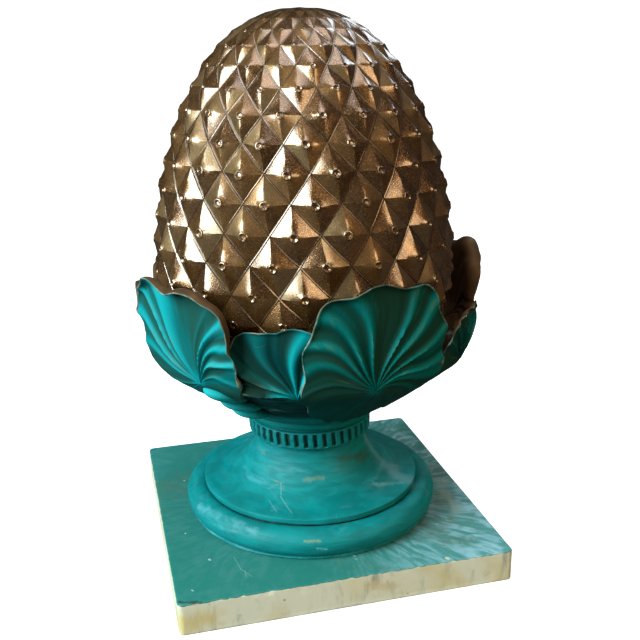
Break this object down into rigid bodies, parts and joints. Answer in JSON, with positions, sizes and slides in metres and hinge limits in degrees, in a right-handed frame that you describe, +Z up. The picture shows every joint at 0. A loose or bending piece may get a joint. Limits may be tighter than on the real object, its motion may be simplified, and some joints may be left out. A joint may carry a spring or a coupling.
{
  "type": "pinecone finial",
  "caption": "Moulded pinecone finial: bronze cone of diamond scales in a cup of leaves, on a turned foot and square plinth.",
  "frame": {"origin": "centre of the plinth's underside, on the surface that it stands on", "axes": "+Z up, along the cone; X and Y along the plinth's sides"},
  "size_m": [0.2524, 0.2483, 0.378],
  "materials": {
    "plinth_resin": "bare ivory cast resin at the sides, worn dull green paint on top",
    "teal_paint": "satin teal paint over cast resin, olive glaze in the pleats, pale worn edges",
    "bronze_paint": "bronze metallic paint over cast resin, dark in the valleys, worn bright on the ridges"
  },
  "bodies": {
    "root": {"plinth": "plinth_resin", "foot": "teal_paint", "leaf_cup": "teal_paint", "pinecone": "bronze_paint"}
  },
  "joints": []
}
